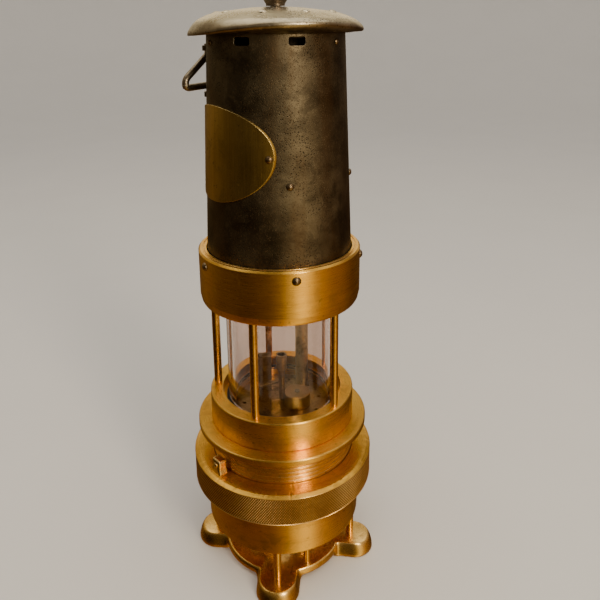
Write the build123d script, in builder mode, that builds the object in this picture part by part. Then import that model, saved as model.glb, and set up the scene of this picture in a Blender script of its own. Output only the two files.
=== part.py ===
"""Brass and steel miner's carbide safety lamp on a four-footed stand. +Z is up, origin on the floor."""

import os
from math import asin, cos, degrees, pi, radians, sin

from build123d import *

os.makedirs("parts", exist_ok=True)

BASE = (Align.CENTER, Align.CENTER, Align.MIN)


def at(radius, angle, height=0.0):
    """Point at a radius, an angle in degrees and a height."""
    return (radius * cos(radians(angle)), radius * sin(radians(angle)), height)


# ---------------------------------------------------------------- driving dimensions, in millimetres

fit = 0.05               # radial clearance of every turning or plugged fit
edge_break = 0.5         # small bevel or round on turned edges

# stand
foot_top = 9.0           # upper face of the base casting
foot_bearings = (-96.0, -10.5, 83.0, 173.8)      # the cast feet are not quite evenly spaced
foot_reaches = (39.6, 42.6, 40.2, 40.4)          # radius of the middle of each foot's round end
foot_rounds = (12.0, 10.8, 12.0, 11.6)           # radius of each round end at the floor
foot_draft = 10.0
foot_ease = 1.0          # bevel where the feet meet the floor
stand_ring_r = 35.0
stand_ring_bore_r = 20.0
stand_ring_underside = 4.5
foot_pillar_r = 2.2
foot_pillar_circle_r = 39.7
foot_nut_slot = (5.0, 0.8, 0.7)
foot_spigot_r = 1.5
foot_nut_r = 3.0
foot_nut_height = 2.4
foot_pocket_depth = 3.0
stay_r = 1.75
stay_circle_r = 31.7
stay_angle = -67.0
stay_collar = (2.55, 1.2)       # radius and height

# carbide vessel
vessel_bottom = 28.7
vessel_r = 43.6
vessel_shoulder = 53.1
vessel_neck_r = 42.0
vessel_rim = 62.0
vessel_bore_r = 39.6
vessel_floor = 31.3
vessel_edge_r = 1.4
control_offset = 9.4     # distance of each control spindle from the axis
control_angle = -25.8    # bearing of the striker spindle, the water valve is opposite
sleeve_r = 4.0
spindle_r = 2.0
spindle_low = 14.0
sleeve_top = 58.0
knob_r = 6.5
knob_low = 12.0
knob_height = 7.0
spindle_collar_r = 3.4   # rests on the end of the sleeve
spindle_collar = 1.0
striker_reach = 2.2      # striker spindle past the end of its sleeve
key_hub_r = 3.6
key_wing = 2.6           # thickness of the key's wings
key_step = 1.6           # hub standing over the wings
valve_tip_r = 0.5
valve_tip = 4.1
knob_hub_r = 4.0
knob_step = 1.5
flute_count = 12
flute_r = 1.5
flute_circle_r = 7.4

# carbide tray, a ring-shaped cup around the control sleeves
tray_r = 37.0
tray_bore_r = 15.0
tray_wall = 1.0
tray_height = 22.0

# screwed joint
gasket_height = 1.4
gasket_bore_r = 39.8
clamp_low = 53.5
clamp_high = 70.9
clamp_r = 50.7
clamp_land_r = 48.6      # inner edge of the bright chamfer on top
clamp_land_drop = 1.2    # how far that chamfer falls
clamp_lip_r = 40.3
clamp_lip_low = 67.0
lug_angle = -141.0
lug_circle_r = 44.4
lug_width = 5.0          # along the radius
lug_length = 7.0
lug_height = 8.0
lug_foot_length = 8.4
lug_foot_height = 2.0
lug_corner_r = 0.8
pin_height = 4.6         # axis of the lock pin over the ring's top
pin_r = 1.3
pin_inner_r = 40.6       # where the pin ends, just short of the tank
pin_head = (1.6, 0.6)

# water tank that forms the neck
tank_low = 63.45
tank_high = 86.7
tank_r = 40.0
tank_bore_r = 37.4
tank_floor = 66.2
tank_collar_r = 41.7
tank_collar_high = 66.7
drip_r = 0.8             # hole that the water valve closes
thread_groove = 0.5
thread_pitch = 2.4
thread_width = 0.9
thread_count = 6
flange_r = 47.5
flange_top = 90.2

# glass cage
cage_top = 106.6
cage_r = 40.1
cage_bore_r = 25.0
plate_seat_r = 27.4
plate_low = 94.0
plate_top = 96.5
glass_seat = 100.5
glass_pocket_r = 33.3
glass_r = 30.0
glass_bore_r = 26.6
glass_low = 102.0
glass_high = 166.0
glass_gasket_r = 31.2
upper_gasket = 1.5
ring_low = 162.4
ring_high = 190.8
ring_r = 43.0
ring_foot_r = 42.4
ring_swell = 166.4       # height at which the foot has widened to the full radius
ring_bevel = 0.9
ring_groove_r = 40.9     # outer wall of the groove turned in the top face
ring_groove_width = 0.8
ring_groove_depth = 0.5
upper_pocket_r = 31.5
gauze_seat = 171.0
gauze_pocket_r = 35.4
bonnet_seat = 178.0
pillar_count = 5
pillar_angle = -112.6
pillar_circle_r = 36.3
pillar_r = 2.2
pillar_spigot_r = 1.4
pillar_spigot = 4.0
ring_screw_z = 185.8
ring_screw_r = 1.2
ring_screw_angles = [-79.5 + 72 * index for index in range(pillar_count)]
ring_screw_head = (2.3, 1.4)         # foot radius and height of the dome
ring_screw_shank = 6.2

# burner and igniter
air_hole_circle_r = 21.5
air_hole_count = 10
air_hole_angle = 6.0
air_hole_r = 1.1
post_r = 1.8
gas_bore_r = 0.8
post_top = 116.5
burner_r = 3.0
burner_bore_r = 2.2
burner_top = 125.3
burner_cup_floor = 119.0
drum_r = 7.2
drum_low = 96.8
drum_high = 104.2
drum_shaft_r = 1.5
drum_shaft_low = 60.6
drum_shaft_high = 104.7
riser_r = 3.9
riser_bore_r = 3.0
riser_x, riser_y = 12.4, 16.5
riser_top = 168.0
riser_plug = 3.0         # solid foot of the tube
bracket_x, bracket_y = -10.0, 10.5
bracket_size = (8.0, 1.0, 24.0)
tab_x, tab_y = -9.6, 8.5
tab_size = (6.4, 5.0, 1.0)
arm_x, arm_y = -8.4, 2.9
arm_height = 104.6
arm_turn = 25.0
arm_size = (14.5, 3.2, 1.2)
arm_post_x, arm_post_y = -13.6, 0.5
arm_post_r = 1.4
flint_x, flint_y = -4.0, -7.0
flint_turn = 20.0
flint_size = (5.0, 3.2, 5.4)

# gauzes
gauze_wall = 0.7
gauze_foot = 2.0         # straight part at the bottom
gauze_ring_height = 3.0
inner_gauze_foot_r = 27.6
inner_gauze_top_r = 17.5
inner_gauze_top = 258.0
outer_gauze_foot_r = 30.0
outer_gauze_top_r = 20.5
outer_gauze_top = 268.0

# bonnet
bonnet_low = 178.0
bonnet_low_r = 38.7
bonnet_top = 299.6
bonnet_top_r = 34.1
bonnet_wall = 1.2
wall_drill = 6.0         # length of the drilled holes, centred on the wall
head_lift = 0.1          # height of a head's flat foot over the curved wall
vent_height = 3.9
vent_width = 8.0
vent_z = 296.4
vent_angles = (-117, -74, 3, 46, 123, 166)
vent_corner_r = 1.2
top_screw_z = 295.6
top_screw_r = 0.9
top_screw_head = (1.5, 0.9)
top_screw_angles = [-155 + 120 * index for index in range(3)]
rivet_z = 230.5
rivet_r = 1.0
rivet_head = (1.9, 1.2)
rivet_angles = [-81.5 + 72 * index for index in range(4)]
oval_angle = -150.0
oval_z = 243.6
oval_half_span = 59.2    # degrees around the bonnet
oval_half_height = 23.3
oval_thickness = 0.8
oval_gap = 0.02          # between the plate and the bonnet
oval_rivet_angles = [oval_angle - 53.6, oval_angle + 53.6]

# lid and hanger
lid_r = 43.0
lid_apex = 312.0
lid_low = 299.6
lid_dome = [(14.0, 311.3), (29.6, 309.3), (37.4, 306.4), (41.6, 303.0)]     # radius and height down the dome
lid_roll = 1.6           # height of the rim's widest point, doubled
lid_lip = 3.6            # height of the flat underside's inner wall
lid_hollow = (22.0, 308.0)       # a point on the hollow underside
lid_thickness = 1.5
lid_rivet_count = 9
lid_rivet_circle_r = 28.5
lid_rivet_angle = -102.0
lid_rivet_seat = 308.9
lid_rivet_r = 1.1
lid_rivet_head = (2.5, 1.2)
lid_lip_r = 31.4         # inner edge of the flat underside
seat_ring_low = 297.6
seat_ring_top = 299.6
seat_ring_bore_r = 25.5
shield_r = 27.0          # skirt under the seat ring that hides the gauzes from the vents
shield_low = 288.5
swivel_r = 6.2
swivel_neck_r = 4.6
swivel_low = 312.3
swivel_top = 323.0
swivel_neck = 0.8        # height of the narrow neck
swivel_flare = 3.4       # height at which the head has its full radius
swivel_bevel = 2.0
swivel_pin_r = 2.5
swivel_pin_low = 307.0
swivel_nut_r = 5.0
swivel_nut_low = 307.6
swivel_nut_height = 2.6
hook_wire_r = 2.1
hook_foot = 316.0        # where the bar enters the swivel's head
hook_stem = 11.0
hook_bend_r = 10.0
hook_sweep = 285.0       # degrees of bend, from straight down round to the open tip

# side loop
loop_angle = 158.0       # bearing of the two eyes
loop_wire_r = 1.8
loop_top = 292.2         # middle of the upper eye
loop_bottom = 268.8      # middle of the lower eye
loop_pivot_r = 37.8
loop_bearing = 229.0     # direction in which the loop stands out
loop_reach = 16.6
loop_corner = 277.0
loop_return = 273.0      # where the lower leg starts back to the pivot line
eye_r = 2.9
eye_width = 4.4
eye_height = 2.6
wire_end = 2.2           # wire past the middle of each eye


def cone_r(z):
    """Outer radius of the tapered bonnet at a height."""
    return bonnet_low_r + (bonnet_top_r - bonnet_low_r) * (z - bonnet_low) / (bonnet_top - bonnet_low)


def domed_head(foot_r, height):
    """Low domed cap standing on the current location."""
    ball_r = (foot_r ** 2 + height ** 2) / (2 * height)
    Sphere(ball_r, arc_size1=degrees(asin((ball_r - height) / ball_r)), align=BASE)


def radial_studs(radius, angles, z, shank_r, shank, head_r, head):
    """Studs along the radius: a shank inwards and a low domed head outwards."""
    for bearing in angles:
        with Locations(Plane(origin=at(radius, bearing, z), z_dir=at(1, bearing))):
            with Locations((0, 0, -shank)):
                Cylinder(shank_r, shank, align=BASE)
            domed_head(head_r, head)


def radial_holes(radius, angles, z, hole_r, depth):
    """Clearance holes along the radius, drilled both ways from a point on it."""
    for bearing in angles:
        with Locations(Plane(origin=at(radius, bearing, z), z_dir=at(1, bearing))):
            Cylinder(hole_r, depth, mode=Mode.SUBTRACT)


# ---------------------------------------------------------------- stand

def feet_outline(inset):
    """Four round-ended arms, drawn in the current sketch a little inside their widest outline."""
    for reach, bearing, round_r in zip(foot_reaches, foot_bearings, foot_rounds):
        with Locations(Location(at(reach / 2, bearing), (0, 0, bearing))):
            SlotCenterToCenter(reach, 2 * (round_r - inset))


def foot_places(height):
    """Points over the four feet at a height, where the pillars stand."""
    return [at(foot_pillar_circle_r, bearing, height) for bearing in foot_bearings]


# base casting: a flat ring with four flared feet, eased at the floor
with BuildPart() as foot_casting:
    with Locations((0, 0, stand_ring_underside)):
        Cylinder(stand_ring_r, foot_top - stand_ring_underside, align=BASE)
    with BuildSketch():
        feet_outline(foot_ease)
    extrude(amount=foot_ease, taper=-45)
    with BuildSketch(Plane.XY.offset(foot_ease)):
        feet_outline(0)
    extrude(amount=foot_top - foot_ease, taper=foot_draft)
    Cylinder(stand_ring_bore_r, foot_top, align=BASE, mode=Mode.SUBTRACT)
    with Locations(*foot_places(0)):
        Cylinder(foot_spigot_r + fit, foot_top, align=BASE, mode=Mode.SUBTRACT)
        Cylinder(foot_nut_r + fit, foot_pocket_depth, align=BASE, mode=Mode.SUBTRACT)
foot_casting.part.label = "foot_casting"
export_step(foot_casting.part, "parts/foot_casting.step")

# four short pillars that carry the vessel over the base
with BuildPart() as foot_pillars:
    with Locations(*foot_places(foot_top)):
        Cylinder(foot_pillar_r, vessel_bottom - foot_top, align=BASE)
    with Locations(*foot_places(foot_pocket_depth)):
        Cylinder(foot_spigot_r, foot_top - foot_pocket_depth, align=BASE)
foot_pillars.part.label = "foot_pillars"
export_step(foot_pillars.part, "parts/foot_pillars.step")

# nuts in pockets under the feet
with BuildPart() as foot_nuts:
    with Locations(*foot_places(foot_pocket_depth - foot_nut_height)):
        Cylinder(foot_nut_r, foot_nut_height, align=BASE)
        Box(*foot_nut_slot, align=BASE, mode=Mode.SUBTRACT)
foot_nuts.part.label = "foot_nuts"
export_step(foot_nuts.part, "parts/foot_nuts.step")

# a thinner stay beside the front pillar, with a small collar at its foot
with BuildPart() as side_stay:
    with Locations(at(stay_circle_r, stay_angle, foot_top)):
        Cylinder(stay_r, vessel_bottom - foot_top, align=BASE)
        Cylinder(*stay_collar, align=BASE)
side_stay.part.label = "side_stay"
export_step(side_stay.part, "parts/side_stay.step")

# ---------------------------------------------------------------- vessel and its controls

# carbide vessel: a turned cup with a stepped neck and two control sleeves
with BuildPart() as vessel:
    with BuildSketch(Plane.XZ):
        with BuildLine():
            Polyline(
                (0, vessel_bottom),
                (vessel_r, vessel_bottom),
                (vessel_r, vessel_shoulder),
                (vessel_neck_r, vessel_shoulder),
                (vessel_neck_r, vessel_rim),
                (vessel_bore_r, vessel_rim),
                (vessel_bore_r, vessel_floor),
                (0, vessel_floor),
                close=True,
            )
        make_face()
    revolve(axis=Axis.Z)
    fillet(vessel.edges().group_by(Axis.Z)[0], radius=vessel_edge_r)
    with PolarLocations(control_offset, 2, start_angle=control_angle):
        with Locations((0, 0, vessel_bottom)):
            Cylinder(sleeve_r, sleeve_top - vessel_bottom, align=BASE)
    with PolarLocations(control_offset, 2, start_angle=control_angle):
        Cylinder(spindle_r + fit, sleeve_top, align=BASE, mode=Mode.SUBTRACT)
vessel.part.label = "vessel"
export_step(vessel.part, "parts/vessel.step")

# carbide tray standing on the vessel floor
with BuildPart() as carbide_tray:
    with Locations((0, 0, vessel_floor)):
        Cylinder(tray_r, tray_height, align=BASE)
        Cylinder(tray_bore_r, tray_height, align=BASE, mode=Mode.SUBTRACT)
    with BuildSketch(Plane.XY.offset(vessel_floor + tray_wall)):
        Circle(tray_r - tray_wall)
        Circle(tray_bore_r + tray_wall, mode=Mode.SUBTRACT)
    extrude(amount=tray_height, mode=Mode.SUBTRACT)
carbide_tray.part.label = "carbide_tray"
export_step(carbide_tray.part, "parts/carbide_tray.step")

# vessel gasket on the rim
with BuildPart() as vessel_gasket:
    with Locations((0, 0, vessel_rim)):
        Cylinder(tank_collar_r, gasket_height, align=BASE)
        Cylinder(gasket_bore_r, gasket_height, align=BASE, mode=Mode.SUBTRACT)
vessel_gasket.part.label = "vessel_gasket"
export_step(vessel_gasket.part, "parts/vessel_gasket.step")


# striker spindle and its winged key
with BuildPart() as striker_spindle:
    with Locations(at(control_offset, control_angle, spindle_low)):
        Cylinder(spindle_r, sleeve_top + striker_reach - spindle_low, align=BASE)
    with Locations(at(control_offset, control_angle, sleeve_top)):
        Cylinder(spindle_collar_r, spindle_collar, align=BASE)
striker_spindle.part.label = "striker_spindle"
export_step(striker_spindle.part, "parts/striker_spindle.step")

with BuildPart() as striker_key:
    with Locations(at(control_offset, control_angle, knob_low)):
        Cylinder(key_hub_r, knob_height, align=BASE)
        with Locations(Rotation(0, 0, control_angle)):
            Box(2 * knob_r, key_wing, knob_height - key_step, align=BASE)
    fillet(striker_key.edges().group_by(Axis.Z)[0], radius=edge_break)
    with Locations(at(control_offset, control_angle, spindle_low)):
        Cylinder(spindle_r, knob_height, align=BASE, mode=Mode.SUBTRACT)
striker_key.part.label = "striker_key"
export_step(striker_key.part, "parts/striker_key.step")

# water valve spindle with a pointed tip, and its fluted knob
with BuildPart() as valve_spindle:
    with Locations(at(control_offset, control_angle + 180, spindle_low)):
        Cylinder(spindle_r, sleeve_top + spindle_collar - spindle_low, align=BASE)
    with Locations(at(control_offset, control_angle + 180, sleeve_top + spindle_collar)):
        Cone(spindle_r, valve_tip_r, valve_tip, align=BASE)
    with Locations(at(control_offset, control_angle + 180, sleeve_top)):
        Cylinder(spindle_collar_r, spindle_collar, align=BASE)
valve_spindle.part.label = "valve_spindle"
export_step(valve_spindle.part, "parts/valve_spindle.step")

with BuildPart() as valve_knob:
    with Locations(at(control_offset, control_angle + 180, knob_low)):
        Cylinder(knob_r, knob_height - knob_step, align=BASE)
        Cylinder(knob_hub_r, knob_height, align=BASE)
        with PolarLocations(flute_circle_r, flute_count):
            Cylinder(flute_r, knob_height, align=BASE, mode=Mode.SUBTRACT)
    with Locations(at(control_offset, control_angle + 180, spindle_low)):
        Cylinder(spindle_r, knob_height, align=BASE, mode=Mode.SUBTRACT)
valve_knob.part.label = "valve_knob"
export_step(valve_knob.part, "parts/valve_knob.step")

# ---------------------------------------------------------------- screwed joint

# clamp ring: knurled outside, lipped inwards at the top to draw the tank down
with BuildPart() as clamp_ring:
    with BuildSketch(Plane.XZ):
        with BuildLine():
            Polyline(
                (vessel_neck_r + fit, clamp_low),
                (clamp_r - edge_break, clamp_low),
                (clamp_r, clamp_low + edge_break),
                (clamp_r, clamp_high - clamp_land_drop),
                (clamp_land_r, clamp_high),
                (clamp_lip_r, clamp_high),
                (clamp_lip_r, clamp_lip_low),
                (vessel_neck_r + fit, clamp_lip_low),
                close=True,
            )
        make_face()
    revolve(axis=Axis.Z)
clamp_ring.part.label = "clamp_ring"
export_step(clamp_ring.part, "parts/clamp_ring.step")

# lock lug on top of the clamp ring: a block on a longer foot, bored for a radial pin
lug_outer_r = lug_circle_r + lug_width / 2
with BuildPart() as lock_lug:
    for length, height in ((lug_foot_length, lug_foot_height), (lug_length, lug_height)):
        with BuildSketch(Plane.XY.offset(clamp_high)):
            with Locations(Location(at(lug_circle_r, lug_angle), (0, 0, lug_angle))):
                RectangleRounded(lug_width, length, lug_corner_r)
        extrude(amount=height)
    radial_holes(lug_circle_r, [lug_angle], clamp_high + pin_height, pin_r + fit, 2 * lug_width)
lock_lug.part.label = "lock_lug"
export_step(lock_lug.part, "parts/lock_lug.step")

# lock pin through the lug, drawn outwards by its domed head
with BuildPart() as lock_pin:
    radial_studs(lug_outer_r, [lug_angle], clamp_high + pin_height, pin_r, lug_outer_r - pin_inner_r, *pin_head)
lock_pin.part.label = "lock_pin"
export_step(lock_pin.part, "parts/lock_pin.step")

# ---------------------------------------------------------------- water tank and flange

# water tank: the grooved neck between clamp ring and flange
with BuildPart() as water_tank:
    with BuildSketch(Plane.XZ):
        with BuildLine():
            Polyline(
                (0, tank_low),
                (tank_collar_r, tank_low),
                (tank_collar_r, tank_collar_high),
                (tank_r, tank_collar_high),
                (tank_r, tank_high),
                (tank_bore_r, tank_high),
                (tank_bore_r, tank_floor),
                (0, tank_floor),
                close=True,
            )
        make_face()
    revolve(axis=Axis.Z)
    with BuildSketch(Plane.XZ):
        with GridLocations(0, thread_pitch, 1, thread_count):
            with Locations((tank_r, (clamp_high + tank_high) / 2)):
                Rectangle(2 * thread_groove, thread_width)
    revolve(axis=Axis.Z, mode=Mode.SUBTRACT)
    Cylinder(post_r + fit, tank_high, align=BASE, mode=Mode.SUBTRACT)
    with Locations(at(control_offset, control_angle, tank_low)):
        Cylinder(sleeve_r, tank_high - tank_low, align=BASE)
        Cylinder(drum_shaft_r + fit, tank_high - tank_low, align=BASE, mode=Mode.SUBTRACT)
    with Locations(at(control_offset, control_angle + 180, tank_low)):
        Cylinder(drip_r, tank_floor - tank_low, align=BASE, mode=Mode.SUBTRACT)
water_tank.part.label = "water_tank"
export_step(water_tank.part, "parts/water_tank.step")

# flange that closes the tank
with BuildPart() as neck_flange:
    with Locations((0, 0, tank_high)):
        Cylinder(flange_r, flange_top - tank_high, align=BASE)
    chamfer(neck_flange.edges().group_by(Axis.Z)[0] + neck_flange.edges().group_by(Axis.Z)[-1], length=edge_break)
    with Locations((0, 0, tank_high)):
        Cylinder(post_r + fit, flange_top - tank_high, align=BASE, mode=Mode.SUBTRACT)
    with Locations(at(control_offset, control_angle, tank_high)):
        Cylinder(drum_shaft_r + fit, flange_top - tank_high, align=BASE, mode=Mode.SUBTRACT)
neck_flange.part.label = "neck_flange"
export_step(neck_flange.part, "parts/neck_flange.step")

# ---------------------------------------------------------------- glass cage

# lower ring of the cage, with a pocket for the glass and a seat for the burner plate
with BuildPart() as cage_lower_ring:
    with BuildSketch(Plane.XZ):
        with BuildLine():
            Polyline(
                (cage_bore_r, flange_top),
                (cage_r - edge_break, flange_top),
                (cage_r, flange_top + edge_break),
                (cage_r, cage_top - edge_break),
                (cage_r - edge_break, cage_top),
                (glass_pocket_r, cage_top),
                (glass_pocket_r, glass_seat),
                (plate_seat_r, glass_seat),
                (plate_seat_r, plate_low),
                (cage_bore_r, plate_low),
                close=True,
            )
        make_face()
    revolve(axis=Axis.Z)
    with PolarLocations(pillar_circle_r, pillar_count, start_angle=pillar_angle):
        with Locations((0, 0, cage_top - pillar_spigot)):
            Cylinder(pillar_spigot_r + fit, pillar_spigot, align=BASE, mode=Mode.SUBTRACT)
cage_lower_ring.part.label = "cage_lower_ring"
export_step(cage_lower_ring.part, "parts/cage_lower_ring.step")

# upper ring: holds the pillars and glass from below, the gauzes and bonnet from above
with BuildPart() as cage_upper_ring:
    with BuildSketch(Plane.XZ):
        with BuildLine():
            Polyline(
                (upper_pocket_r, ring_low),
                (ring_foot_r - edge_break, ring_low),
                (ring_foot_r, ring_low + 2 * edge_break),
                (ring_r, ring_swell),
                (ring_r, ring_high - ring_bevel),
                (ring_r - ring_bevel, ring_high),
                (ring_groove_r, ring_high),
                (ring_groove_r, ring_high - ring_groove_depth),
                (ring_groove_r - ring_groove_width, ring_high - ring_groove_depth),
                (ring_groove_r - ring_groove_width, ring_high),
                (bonnet_low_r + fit, ring_high),
                (bonnet_low_r + fit, bonnet_seat),
                (gauze_pocket_r, bonnet_seat),
                (gauze_pocket_r, gauze_seat),
                (glass_bore_r, gauze_seat),
                (glass_bore_r, glass_high + upper_gasket),
                (upper_pocket_r, glass_high + upper_gasket),
                close=True,
            )
        make_face()
    revolve(axis=Axis.Z)
    with PolarLocations(pillar_circle_r, pillar_count, start_angle=pillar_angle):
        with Locations((0, 0, ring_low)):
            Cylinder(pillar_spigot_r + fit, pillar_spigot, align=BASE, mode=Mode.SUBTRACT)
    radial_holes(ring_r, ring_screw_angles, ring_screw_z, ring_screw_r + fit, 2 * ring_screw_shank)
cage_upper_ring.part.label = "cage_upper_ring"
export_step(cage_upper_ring.part, "parts/cage_upper_ring.step")

# five cage pillars
with BuildPart() as cage_pillars:
    with PolarLocations(pillar_circle_r, pillar_count, start_angle=pillar_angle):
        with Locations((0, 0, cage_top)):
            Cylinder(pillar_r, ring_low - cage_top, align=BASE)
        with Locations((0, 0, cage_top - pillar_spigot)):
            Cylinder(pillar_spigot_r, ring_low - cage_top + 2 * pillar_spigot, align=BASE)
cage_pillars.part.label = "cage_pillars"
export_step(cage_pillars.part, "parts/cage_pillars.step")

# glass cylinder between two gaskets
with BuildPart() as glass:
    with Locations((0, 0, glass_low)):
        Cylinder(glass_r, glass_high - glass_low, align=BASE)
        Cylinder(glass_bore_r, glass_high - glass_low, align=BASE, mode=Mode.SUBTRACT)
glass.part.label = "glass"
export_step(glass.part, "parts/glass.step")

with BuildPart() as glass_gasket_lower:
    with Locations((0, 0, glass_seat)):
        Cylinder(glass_gasket_r, glass_low - glass_seat, align=BASE)
        Cylinder(plate_seat_r, glass_low - glass_seat, align=BASE, mode=Mode.SUBTRACT)
glass_gasket_lower.part.label = "glass_gasket_lower"
export_step(glass_gasket_lower.part, "parts/glass_gasket_lower.step")

with BuildPart() as glass_gasket_upper:
    with Locations((0, 0, glass_high)):
        Cylinder(glass_gasket_r, upper_gasket, align=BASE)
        Cylinder(plate_seat_r, upper_gasket, align=BASE, mode=Mode.SUBTRACT)
glass_gasket_upper.part.label = "glass_gasket_upper"
export_step(glass_gasket_upper.part, "parts/glass_gasket_upper.step")

# ---------------------------------------------------------------- burner and igniter

# burner plate, the floor seen through the glass
with BuildPart() as burner_plate:
    with Locations((0, 0, plate_low)):
        Cylinder(plate_seat_r - fit, plate_top - plate_low, align=BASE)
        Cylinder(post_r + fit, plate_top - plate_low, align=BASE, mode=Mode.SUBTRACT)
    with Locations(at(control_offset, control_angle, plate_low)):
        Cylinder(drum_shaft_r + fit, plate_top - plate_low, align=BASE, mode=Mode.SUBTRACT)
    with PolarLocations(air_hole_circle_r, air_hole_count, start_angle=air_hole_angle):
        with Locations((0, 0, plate_low)):
            Cylinder(air_hole_r, plate_top - plate_low, align=BASE, mode=Mode.SUBTRACT)
burner_plate.part.label = "burner_plate"
export_step(burner_plate.part, "parts/burner_plate.step")

# gas post from the vessel through the tank to the burner
with BuildPart() as gas_post:
    with Locations((0, 0, tank_low)):
        Cylinder(post_r, post_top - tank_low, align=BASE)
        Cylinder(gas_bore_r, post_top - tank_low, align=BASE, mode=Mode.SUBTRACT)
gas_post.part.label = "gas_post"
export_step(gas_post.part, "parts/gas_post.step")

# open-topped burner cup
with BuildPart() as burner_cup:
    with Locations((0, 0, post_top)):
        Cylinder(burner_r, burner_top - post_top, align=BASE)
        Cylinder(gas_bore_r, burner_top - post_top, align=BASE, mode=Mode.SUBTRACT)
    with Locations((0, 0, burner_cup_floor)):
        Cylinder(burner_bore_r, burner_top - burner_cup_floor, align=BASE, mode=Mode.SUBTRACT)
burner_cup.part.label = "burner_cup"
export_step(burner_cup.part, "parts/burner_cup.step")

# striker drum and the shaft that turns it
with BuildPart() as striker_drum:
    with Locations(at(control_offset, control_angle, drum_low)):
        Cylinder(drum_r, drum_high - drum_low, align=BASE)
        Cylinder(drum_shaft_r, drum_high - drum_low, align=BASE, mode=Mode.SUBTRACT)
    fillet(striker_drum.edges().group_by(Axis.Z)[-1].sort_by(SortBy.RADIUS)[-1], radius=edge_break)
striker_drum.part.label = "striker_drum"
export_step(striker_drum.part, "parts/striker_drum.step")

with BuildPart() as striker_shaft:
    with Locations(at(control_offset, control_angle, drum_shaft_low)):
        Cylinder(drum_shaft_r, drum_shaft_high - drum_shaft_low, align=BASE)
striker_shaft.part.label = "striker_shaft"
export_step(striker_shaft.part, "parts/striker_shaft.step")

# open riser tube behind the drum
with BuildPart() as riser_tube:
    with Locations((riser_x, riser_y, plate_top)):
        Cylinder(riser_r, riser_top - plate_top, align=BASE)
        with Locations((0, 0, riser_plug)):
            Cylinder(riser_bore_r, riser_top - plate_top, align=BASE, mode=Mode.SUBTRACT)
riser_tube.part.label = "riser_tube"
export_step(riser_tube.part, "parts/riser_tube.step")

# striker bracket: an upright strip with a tab bent forward at its top
with BuildPart() as striker_bracket:
    with Locations((bracket_x, bracket_y, plate_top)):
        Box(*bracket_size, align=BASE)
    with Locations((tab_x, tab_y, plate_top + bracket_size[2] - tab_size[2])):
        Box(*tab_size, align=BASE)
striker_bracket.part.label = "striker_bracket"
export_step(striker_bracket.part, "parts/striker_bracket.step")

# striker arm: a flat bar on its own post
with BuildPart() as striker_arm:
    with Locations(Pos(arm_x, arm_y, arm_height) * Rot(0, 0, arm_turn)):
        Box(*arm_size, align=BASE)
    with Locations((arm_post_x, arm_post_y, plate_top)):
        Cylinder(arm_post_r, arm_height + arm_size[2] - plate_top, align=BASE)
striker_arm.part.label = "striker_arm"
export_step(striker_arm.part, "parts/striker_arm.step")

# flint block beside the drum
with BuildPart() as flint_block:
    with Locations(Pos(flint_x, flint_y, plate_top) * Rot(0, 0, flint_turn)):
        Box(*flint_size, align=BASE)
    fillet(flint_block.edges().group_by(Axis.Z)[-1], radius=edge_break)
flint_block.part.label = "flint_block"
export_step(flint_block.part, "parts/flint_block.step")

# ---------------------------------------------------------------- gauzes


def gauze(low_r, high_r, low, high, wall):
    """Corners of the half-section of a closed, tapered gauze cap with a foot flange."""
    return (
        (low_r, low),
        (low_r, low + gauze_foot),
        (high_r, high),
        (0, high),
        (0, high - wall),
        (high_r - wall, high - wall),
        (low_r - wall, low + gauze_foot),
        (low_r - wall, low),
    )


with BuildPart() as inner_gauze:
    with BuildSketch(Plane.XZ):
        with BuildLine():
            Polyline(*gauze(inner_gauze_foot_r, inner_gauze_top_r, gauze_seat, inner_gauze_top, gauze_wall), close=True)
        make_face()
    revolve(axis=Axis.Z)
inner_gauze.part.label = "inner_gauze"
export_step(inner_gauze.part, "parts/inner_gauze.step")

with BuildPart() as outer_gauze:
    with BuildSketch(Plane.XZ):
        with BuildLine():
            Polyline(*gauze(outer_gauze_foot_r, outer_gauze_top_r, gauze_seat, outer_gauze_top, gauze_wall), close=True)
        make_face()
    revolve(axis=Axis.Z)
outer_gauze.part.label = "outer_gauze"
export_step(outer_gauze.part, "parts/outer_gauze.step")

# ring that centres both gauzes in the upper ring
with BuildPart() as gauze_ring:
    with Locations((0, 0, gauze_seat)):
        Cylinder(gauze_pocket_r - fit, gauze_ring_height, align=BASE)
        Cylinder(outer_gauze_foot_r + fit, gauze_ring_height, align=BASE, mode=Mode.SUBTRACT)
gauze_ring.part.label = "gauze_ring"
export_step(gauze_ring.part, "parts/gauze_ring.step")

with BuildPart() as gauze_spacer:
    with Locations((0, 0, gauze_seat)):
        Cylinder(outer_gauze_foot_r - gauze_wall - fit, gauze_foot, align=BASE)
        Cylinder(inner_gauze_foot_r + fit, gauze_foot, align=BASE, mode=Mode.SUBTRACT)
gauze_spacer.part.label = "gauze_spacer"
export_step(gauze_spacer.part, "parts/gauze_spacer.step")

# ---------------------------------------------------------------- bonnet

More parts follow.
